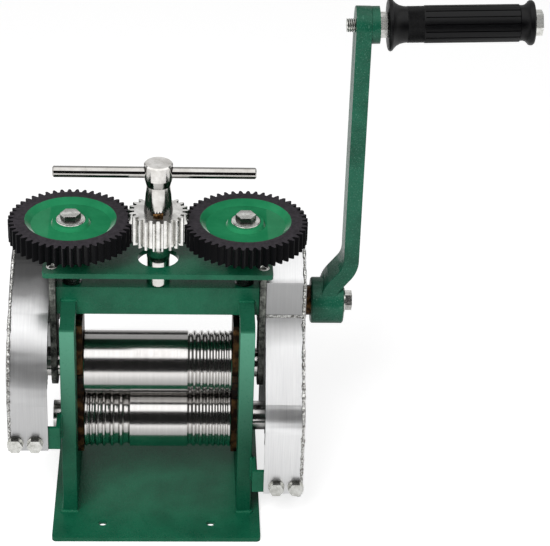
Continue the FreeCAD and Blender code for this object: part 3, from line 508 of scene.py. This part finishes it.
# height in mm and grey of each guard's sheet, painted shade and painted reflection: on the left the painted shadow
# under the gear, on the right a darker band for the upright panel's reflection
sheetShadeByHeight = {
    "left": ((0, 200), (122, 206), (135, 222), (150, 202), (162, 226), (168, 208), (174, 132), (181, 74),
             (188, 62)),
    "right": ((0, 244), (120, 255), (141, 250), (156, 160), (186, 170), (189, 226), (211, 214)),
}
plateShadedPaint = hammeredPaint("plateShadedGreen", paintTones["plates"], 0.15, 0.00016, plateSheen)
ownFinish = {
    "side_plate_left": plateShadedPaint,
    "side_plate_right": plateShadedPaint,
    "handle_bar": turnedSteel("barSteel", tone(190, 188, 185), tone(166, 163, 158), 0.2, 0.07),
    "gear_guard_left": brushedSheet("leftGuardSheet", 0.38, sheetShadeByHeight["left"]),
    "gear_guard_right": brushedSheet("rightGuardSheet", 0.35, sheetShadeByHeight["right"]),
}
webRadius = 33 * mm
for side, _ in sides:
    axisX = joints[side + "_gear_turn"]["pos_m"][0]
    ownFinish["adjusting_gear_" + side] = gearTwoTone(side + "GearFinish", axisX, webRadius)
sheetWeld = weldMetal("sheetWeld", tone(236, 236, 233), tone(92, 88, 84))
burntWeld = weldMetal("burntWeld", tone(140, 104, 62), tone(66, 42, 26))

# painted and sheet pieces whose edges are eased, with the width of the ease
easedEdges = {
    "base_plate": 0.6, "side_plate_left": 0.6, "side_plate_right": 0.6, "cross_beam": 0.6, "top_plate": 0.5,
    "guard_bracket_left": 0.4, "guard_bracket_right": 0.4, "crank_arm": 0.7, "gear_guard_left": 0.35,
    "gear_guard_right": 0.7, "strap_left": 0.4, "strap_right": 0.4,
}


def easeEdges(node, width):
    weld = node.modifiers.new("weld", "WELD")
    weld.merge_threshold = seamGap
    ease = node.modifiers.new("ease", "BEVEL")
    ease.width = width * mm
    ease.segments = 2
    ease.limit_method = "ANGLE"
    ease.angle_limit = math.radians(50)
    ease.harden_normals = True


def dressFrame():
    for part in frame["record"]["subparts"]:
        name = part["node"]
        finish = ownFinish.get(name) or finishes[part["material_slot"]]
        node = nodes[name]
        if not node.material_slots:
            node.data.materials.append(finish)
        for place in node.material_slots:
            place.material = finish
        if name in easedEdges:
            easeEdges(node, easedEdges[name])


dressFrame()
for side, _ in sides:
    nodes["adjusting_gear_" + side].visible_glossy = False      # or its shade would black out the guards
print("materials on", len(nodes), "nodes")


def pickFaces(test):
    bpy.ops.mesh.select_mode(type="FACE")
    bpy.ops.mesh.select_all(action="DESELECT")
    data = bpy.context.object.data
    mesh = bmesh.from_edit_mesh(data)
    for face in mesh.faces:
        face.select_set(test(face.calc_center_median(), face.normal))
    bmesh.update_edit_mesh(data)


def pickVertices(test):
    bpy.ops.mesh.select_mode(type="VERT")
    bpy.ops.mesh.select_all(action="DESELECT")
    data = bpy.context.object.data
    mesh = bmesh.from_edit_mesh(data)
    for vertex in mesh.verts:
        vertex.select_set(test(vertex.co))
    mesh.select_flush_mode()
    bmesh.update_edit_mesh(data)


def pickEdges(test):
    bpy.ops.mesh.select_mode(type="EDGE")
    bpy.ops.mesh.select_all(action="DESELECT")
    data = bpy.context.object.data
    mesh = bmesh.from_edit_mesh(data)
    for edge in mesh.edges:
        edge.select_set(test(edge))
    bmesh.update_edit_mesh(data)


def raiseFaces(height):
    bpy.ops.mesh.extrude_region_move(TRANSFORM_OT_translate={"value": (0, 0, height)})


def applyModifier(name):
    bpy.ops.object.modifier_apply(modifier=name)


# closes a piece's modelling: place into the mesh, outward faces, finish and body
def finishPiece(piece, name, finish, body, smoothAngle=35, replaced=()):
    bpy.ops.object.mode_set(mode="EDIT")
    bpy.ops.mesh.select_all(action="SELECT")
    bpy.ops.mesh.normals_make_consistent(inside=False)
    bpy.ops.object.mode_set(mode="OBJECT")
    bpy.ops.object.transform_apply(location=True, rotation=True, scale=True)
    bpy.ops.object.shade_smooth_by_angle(angle=math.radians(smoothAngle))
    piece.name = name
    piece.data.name = name
    piece.data.materials.clear()
    piece.data.materials.append(finish)
    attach(piece, body)
    if replaced:
        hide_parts(*replaced)
    piece.select_set(False)


# turns a shape built along +Z onto the grip's tilted axis, from a distance along it
def placeOnGripAxis(piece, distance):
    axis = Vector(joints["grip_spin"]["axis"]).normalized()
    start = Vector(joints["grip_spin"]["pos_m"]) + axis * distance
    piece.matrix_world = Matrix.Translation(start) @ axis.to_track_quat("Z", "Y").to_matrix().to_4x4()


gripShape = {
    "start": 11.6,          # mm from the crank arm's outer face
    "sides": 96,
    "bore": 5.1,
    # radius and height of each ring, from the arm outwards
    "innerFlange": ((16.6, 0.0), (18.0, 0.5), (18.8, 1.7), (18.4, 2.9), (16.9, 4.1), (15.0, 5.9),
                    (13.6, 8.4), (12.9, 11.4), (12.7, 13.6)),
    "knurlEnd": 25.0,
    "knurlRows": 13,
    "knurlRise": 0.3,
    "ribRadius": 13.3,
    "ribs": (26.0, 92.4),
    "grooveStep": 6,        # one side in six is a groove
    "grooveDepth": 0.9,
    "grooveWall": 0.1,
    "outerFlange": ((12.6, 93.0), (12.5, 95.0), (13.0, 96.8), (14.2, 98.2), (15.5, 99.2), (15.9, 100.4),
                    (15.8, 101.8), (14.9, 102.9), (13.4, 103.2)),
}


def extrudeRing(radius, height, last):
    raiseFaces((height - last[1]) * mm)
    share = radius / last[0]
    bpy.ops.transform.resize(value=(share, share, 1), center_override=(0, 0, height * mm))


def makeGrip():
    shape = gripShape
    rings = list(shape["innerFlange"])
    knurlStart = rings[-1][1]
    for row in range(1, shape["knurlRows"] + 1):
        rings.append((rings[-1][0], knurlStart + (shape["knurlEnd"] - knurlStart) * row / shape["knurlRows"]))
    ribStart, ribEnd = shape["ribs"]
    rings += [(shape["ribRadius"], ribStart), (shape["ribRadius"], ribEnd)]
    rings += list(shape["outerFlange"])
    bpy.ops.mesh.primitive_circle_add(vertices=shape["sides"], radius=rings[0][0] * mm, fill_type="NGON")
    piece = bpy.context.object
    bpy.ops.object.mode_set(mode="EDIT")
    bpy.ops.mesh.select_all(action="SELECT")
    for last, ring in zip(rings, rings[1:]):
        extrudeRing(*ring, last)
    top = rings[-1][1] * mm
    for level, radius in ((0, rings[0][0]), (top, rings[-1][0])):
        pickFaces(lambda middle, normal: abs(middle.z - level) < hair and abs(normal.z) > squareOn)
        bpy.ops.mesh.inset(thickness=(radius - shape["bore"]) * mm)
    pickFaces(lambda middle, normal: middle.xy.length < 0.1 * mm and abs(normal.z) > squareOn)
    bpy.ops.mesh.bridge_edge_loops()
    bpy.ops.mesh.select_all(action="SELECT")
    bpy.ops.mesh.normals_make_consistent(inside=False)

    def isOutside(middle, start, end):
        return start * mm < middle.z < end * mm and middle.xy.length > shape["bore"] * 2 * mm

    def isGroove(middle, normal):
        turn = math.atan2(middle.y, middle.x) / (2 * math.pi) * shape["sides"]
        return isOutside(middle, ribStart, ribEnd) and math.floor(turn) % shape["grooveStep"] == 0

    pickFaces(isGroove)
    bpy.ops.mesh.inset(thickness=shape["grooveWall"] * mm, depth=-shape["grooveDepth"] * mm,
                       use_individual=True)
    pickFaces(lambda middle, normal: isOutside(middle, knurlStart, shape["knurlEnd"]))
    bpy.ops.mesh.poke(offset=shape["knurlRise"] * mm)
    bpy.ops.object.mode_set(mode="OBJECT")
    placeOnGripAxis(piece, shape["start"] * mm)
    finishPiece(piece, "ribbedGrip", finishes["grip_rubber"], "grip", 32, ["grip"])


makeGrip()
print("grip done")


threadSides = 32


# a helical screw thread along +Z from the origin, with flat cut ends
def makeThread(radius, depth, pitch, length):
    bpy.ops.mesh.primitive_plane_add(size=pitch * mm, rotation=(math.pi / 2, 0, 0))
    piece = bpy.context.object
    bpy.ops.object.transform_apply(location=True, rotation=True, scale=True)
    bpy.ops.object.mode_set(mode="EDIT")
    pickVertices(lambda place: place.x > 0)
    bpy.ops.mesh.delete(type="VERT")
    bpy.ops.mesh.select_all(action="SELECT")
    bpy.ops.mesh.subdivide(number_cuts=1)
    bpy.ops.transform.translate(value=((radius - depth + pitch / 2) * mm, 0, -pitch * mm))
    pickVertices(lambda place: abs(place.z + pitch * mm) < hair)
    bpy.ops.transform.translate(value=(depth * mm, 0, 0))
    bpy.ops.object.mode_set(mode="OBJECT")
    winding = piece.modifiers.new("winding", "SCREW")
    winding.axis = "Z"
    winding.screw_offset = pitch * mm
    winding.iterations = math.ceil(length / pitch) + 2
    winding.steps = winding.render_steps = threadSides
    winding.use_merge_vertices = True
    winding.merge_threshold = 0.001 * mm
    applyModifier("winding")
    bpy.ops.object.mode_set(mode="EDIT")
    bpy.ops.mesh.select_all(action="SELECT")
    bpy.ops.mesh.remove_doubles(threshold=0.001 * mm)
    for level, heading in ((0, -1), (length * mm, 1)):
        bpy.ops.mesh.select_all(action="SELECT")
        bpy.ops.mesh.bisect(plane_co=(0, 0, level), plane_no=(0, 0, heading), use_fill=True, clear_outer=True)
    bpy.ops.object.mode_set(mode="OBJECT")
    return piece


gripStud = {
    "radius": 5.0, "depth": 0.65, "pitch": 1.5,
    "start": -17.2,         # mm from the arm's outer face, through the arm
    "length": 132.3,
}


def makeGripStud():
    piece = makeThread(gripStud["radius"], gripStud["depth"], gripStud["pitch"], gripStud["length"])
    placeOnGripAxis(piece, gripStud["start"] * mm)
    finishPiece(piece, "gripStud", finishes["fastener_zinc"], "crank", 25, ["grip_pin"])


adjustThread = {"depth": 1.0, "pitch": 2.0}     # one turn lifts the roll by the pitch


def makeAdjustThreads():
    for side, _ in sides:
        node = "adjusting_screw_" + side
        low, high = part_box(node)
        radius = (high[0] - low[0]) / 2 / mm
        piece = makeThread(radius, adjustThread["depth"], adjustThread["pitch"], (high[2] - low[2]) / mm)
        piece.location = ((low[0] + high[0]) / 2, (low[1] + high[1]) / 2, low[2])
        finishPiece(piece, side + "AdjustThread", finishes["shaft_steel"], "gear_" + side, 25,
                    [node])


makeGripStud()
makeAdjustThreads()
print("threads done")


# sizes in mm: sides, radius or width across flats, height, eased edge and turn in degrees
gearBolt = {
    "washer": {"sides": 64, "radius": 10.4, "height": 1.3, "ease": 0.5, "turn": 0},
    "head": {"sides": 6, "across": 13.0, "height": 4.6, "ease": 0.7, "turn": 30},
}


# an upright prism on a floor, with its upper edges eased
def addPrism(shape, x, y, floor):
    radius = shape.get("radius") or shape["across"] / 2 / math.cos(math.pi / shape["sides"])
    height = shape["height"] * mm
    bpy.ops.mesh.primitive_cylinder_add(vertices=shape["sides"], radius=radius * mm, depth=height,
                                        location=(x, y, floor + height / 2),
                                        rotation=(0, 0, math.radians(shape["turn"])))
    bpy.ops.object.mode_set(mode="EDIT")
    pickEdges(lambda edge: min(vertex.co.z for vertex in edge.verts) > 0)
    bpy.ops.mesh.bevel(offset=shape["ease"] * mm, segments=2)
    bpy.ops.object.mode_set(mode="OBJECT")
    return bpy.context.object


# a hexagon bolt head on its flat washer, on top of each adjusting gear
def makeGearBolts():
    for side, _ in sides:
        node = "gear_bolt_" + side
        low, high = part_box(node)
        x, y = (low[0] + high[0]) / 2, (low[1] + high[1]) / 2
        washer = addPrism(gearBolt["washer"], x, y, low[2])
        addPrism(gearBolt["head"], x, y, low[2] + gearBolt["washer"]["height"] * mm)
        washer.select_set(True)
        bpy.ops.object.join()
        finishPiece(bpy.context.object, side + "GearBolt", finishes["fastener_zinc"], "gear_" + side,
                    30, [node])


strapScrew = {
    "sides": 48, "radius": 4.0, "neck": 1.5, "head": 2.2,
    "rise": 0.25,           # of the rim above the cone
    "rim": 0.6, "wall": 0.3, "dish": 0.5,
    "socket": 2.2, "socketDepth": 1.1,
}


# countersunk screws with a bright rim and a round socket, two at each end of the top plate
def makeStrapScrews():
    low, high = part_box("strap_screws")
    radius = strapScrew["radius"] * mm
    head = strapScrew["head"] * mm
    floor = strapScrew["radius"] - strapScrew["rim"] - strapScrew["wall"]
    screws = []
    for x in (low[0] + radius, high[0] - radius):
        for y in (low[1] + radius, high[1] - radius):
            bpy.ops.mesh.primitive_cone_add(vertices=strapScrew["sides"], radius1=strapScrew["neck"] * mm,
                                            radius2=radius, depth=head, location=(x, y, high[2] - head / 2))
            bpy.ops.object.mode_set(mode="EDIT")
            pickFaces(lambda middle, normal: normal.z > squareOn)
            raiseFaces(strapScrew["rise"] * mm)
            bpy.ops.mesh.inset(thickness=strapScrew["rim"] * mm)
            bpy.ops.mesh.inset(thickness=strapScrew["wall"] * mm, depth=-strapScrew["dish"] * mm)
            bpy.ops.mesh.inset(thickness=(floor - strapScrew["socket"]) * mm)
            raiseFaces(-strapScrew["socketDepth"] * mm)
            pickFaces(lambda middle, normal: normal.z < -squareOn)
            raiseFaces(low[2] + head - high[2])
            bpy.ops.object.mode_set(mode="OBJECT")
            screws.append(bpy.context.object)
    for screw in screws:
        screw.select_set(True)
    bpy.ops.object.join()
    finishPiece(bpy.context.object, "topPlateScrews", finishes["fastener_zinc"], "carriage",
                30, ["strap_screws"])


makeGearBolts()
makeStrapScrews()
print("bolts and screws done")


beadLumps = bpy.data.textures.new("beadLumps", "CLOUDS")
beadLumps.noise_scale = 1.6 * mm
beadLumps.noise_depth = 2


def roughenBead(piece, lump):
    rough = piece.modifiers.new("lumps", "DISPLACE")
    rough.texture = beadLumps
    rough.texture_coords = "GLOBAL"
    rough.strength = lump * mm
    rough.mid_level = 0.5
    applyModifier("lumps")


beadSides = 10
beadStep = 0.7              # mm between the rings of a bead
beadNose = 0.4              # how far its ends are rounded, as a share of the radius


# a rounded run of weld from one point to another
def layBead(name, start, end, radius, lump, finish, body):
    run = Vector(end) - Vector(start)
    bpy.ops.mesh.primitive_cylinder_add(vertices=beadSides, radius=radius * mm, depth=run.length,
                                        location=(Vector(start) + Vector(end)) / 2,
                                        rotation=run.to_track_quat("Z", "Y").to_euler())
    piece = bpy.context.object
    bpy.ops.object.mode_set(mode="EDIT")
    half = run.length / 2
    pickEdges(lambda edge: abs(edge.verts[0].co.z - edge.verts[1].co.z) > half)
    bpy.ops.mesh.subdivide(number_cuts=max(2, round(run.length / (beadStep * mm))))
    nose = beadNose * radius * mm
    for heading in (-1, 1):
        pickFaces(lambda middle, normal: normal.z * heading > squareOn)
        bpy.ops.mesh.inset(thickness=nose)
        bpy.ops.transform.translate(value=run.normalized() * heading * nose)
    bpy.ops.object.mode_set(mode="OBJECT")
    roughenBead(piece, lump)
    finishPiece(piece, name, finish, body, 60)


footBead = {"radius": 2.0, "lump": 1.5}


# beads along the outer, front and back foot of each side plate
def makeFootBeads():
    for side, sign in sides:
        low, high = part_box("side_plate_" + side)
        inner, outer = (low[0], high[0]) if sign > 0 else (high[0], low[0])
        runs = {
            "Outer": ((outer, low[1], low[2]), (outer, high[1], low[2])),
            "Front": ((inner, low[1], low[2]), (outer, low[1], low[2])),
            "Back": ((inner, high[1], low[2]), (outer, high[1], low[2])),
        }
        for place, (start, end) in runs.items():
            layBead(side + place + "FootBead", start, end, footBead["radius"], footBead["lump"],
                    finishes["green_paint"], "root")


beamBead = {"radius": 1.6, "lump": 1.2}


# beads where the beam sits in the side plates, at the front and the back
def makeBeamBeads():
    beamLow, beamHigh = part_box("cross_beam")
    for side, _ in sides:
        low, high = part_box("side_plate_" + side)
        top = high[2]
        for place, y in (("Front", beamLow[1]), ("Back", beamHigh[1])):
            layBead(side + place + "BeamBead", (low[0], y, top), (high[0], y, top), beamBead["radius"],
                    beamBead["lump"], finishes["green_paint"], "root")


bracketBead = {"radius": 1.3, "lump": 1.1}


# beads along the top, foot and front of each guard bracket, where it meets its side plate
def makeBracketBeads():
    for side, sign in sides:
        low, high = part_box("guard_bracket_" + side)
        plateLow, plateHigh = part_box("side_plate_" + side)
        seam = plateHigh[0] if sign > 0 else plateLow[0]
        front = plateLow[1]
        runs = {
            "Top": ((seam, front, high[2]), (seam, high[1], high[2])),
            "Bottom": ((seam, front, low[2]), (seam, high[1], low[2])),
            "Face": ((seam, front, low[2]), (seam, front, high[2])),
        }
        for place, (start, end) in runs.items():
            layBead(side + place + "BracketBead", start, end, bracketBead["radius"], bracketBead["lump"],
                    finishes["green_paint"], "root")


# turns the active piece's loose edges into a lumpy round bead of uneven thickness
def edgesToBead(shape, name, finish, body):
    for _ in range(shape["halvings"]):
        pickEdges(lambda edge: edge.calc_length() > shape["spacing"] * mm)
        bpy.ops.mesh.subdivide(number_cuts=1)
    bpy.ops.object.mode_set(mode="OBJECT")
    bpy.ops.object.convert(target="CURVE")
    piece = bpy.context.object
    for run in piece.data.splines:
        for point in run.points:
            point.radius = 1 + shape["swell"] * noise.noise(point.co.xyz / (shape["swellLength"] * mm))
    piece.data.bevel_depth = shape["radius"] * mm
    piece.data.bevel_resolution = 2
    piece.data.use_fill_caps = True
    bpy.ops.object.convert(target="MESH")
    roughenBead(piece, shape["lump"])
    finishPiece(piece, name, finish, body, 60)


guardBead = {"radius": 1.1, "lump": 1.0, "swell": 0.7, "swellLength": 3.2, "spacing": 0.8, "halvings": 7,
             "sink": 1.5, "holeReach": 25}


# the rough weld that joins each guard's band to its cheek, along the cheek's own outline
def makeGuardBead(side, sign):
    low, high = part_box("gear_guard_" + side)
    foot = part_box("guard_bracket_" + side)[0][2]
    outer = high[0] if sign > 0 else low[0]
    shaftY, shaftZ = joints["crank_turn"]["pos_m"][1:]
    piece = bpy.data.objects.new(side + "GuardWeld", nodes["gear_guard_" + side].data.copy())
    bpy.context.collection.objects.link(piece)
    bpy.context.view_layer.objects.active = piece
    piece.select_set(True)
    bpy.ops.object.mode_set(mode="EDIT")
    bpy.ops.mesh.select_all(action="SELECT")
    bpy.ops.mesh.remove_doubles(threshold=seamGap)

    def isRim(edge):
        ends = [vertex.co for vertex in edge.verts]
        onCheek = all(abs(end.x - outer) < 0.05 * mm and end.z > foot - 0.1 * mm for end in ends)
        facing = {abs(face.normal.x) > 0.9 for face in edge.link_faces}
        fromShaft = min(math.hypot(end.y - shaftY, end.z - shaftZ) for end in ends)
        aboveFoot = max(end.z for end in ends) > foot + 0.5 * mm
        return onCheek and len(facing) == 2 and aboveFoot and fromShaft > guardBead["holeReach"] * mm

    pickEdges(isRim)
    bpy.ops.mesh.duplicate()
    bpy.ops.transform.translate(value=(-sign * guardBead["sink"] * mm, 0, 0))
    bpy.ops.mesh.select_all(action="INVERT")
    bpy.ops.mesh.delete(type="VERT")
    edgesToBead(guardBead, side + "GuardWeld", sheetWeld, "root")


guardLip = {"y": -12.0, "z": 158.6, "radius": 1.15, "lump": 0.8}


# the weld across the right guard's band, where its sloping panel meets the upright step
def makeGuardLip():
    low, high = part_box("gear_guard_right")
    y, z = guardLip["y"] * mm, guardLip["z"] * mm
    layBead("rightGuardLip", (low[0], y, z), (high[0], y, z), guardLip["radius"], guardLip["lump"], sheetWeld,
            "root")


spindleMark = {"radius": 1.3, "lump": 1.2, "swell": 0.4, "swellLength": 2.0, "spacing": 0.6, "halvings": 3,
               "sides": 60, "halfWidth": 4.0, "rise": 1.0}


# the burnt tack at the front, where the handle's neck is welded to its pinion
def makeSpindleMark():
    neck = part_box("handle_spindle")[1][1]
    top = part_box("adjusting_pinion")[1][2]
    bpy.ops.mesh.primitive_circle_add(vertices=spindleMark["sides"], radius=neck,
                                      location=(0, 0, top + spindleMark["rise"] * mm))
    piece = bpy.context.object
    bpy.ops.object.transform_apply(location=True, rotation=True, scale=True)
    bpy.ops.object.mode_set(mode="EDIT")
    pickVertices(lambda place: place.y > 0 or abs(place.x) > spindleMark["halfWidth"] * mm)
    bpy.ops.mesh.delete(type="VERT")
    edgesToBead(spindleMark, "spindleTack", burntWeld, "t_handle")


makeFootBeads()
makeBeamBeads()
makeBracketBeads()
for side, sign in sides:
    makeGuardBead(side, sign)
makeGuardLip()
makeSpindleMark()
print("weld beads done")
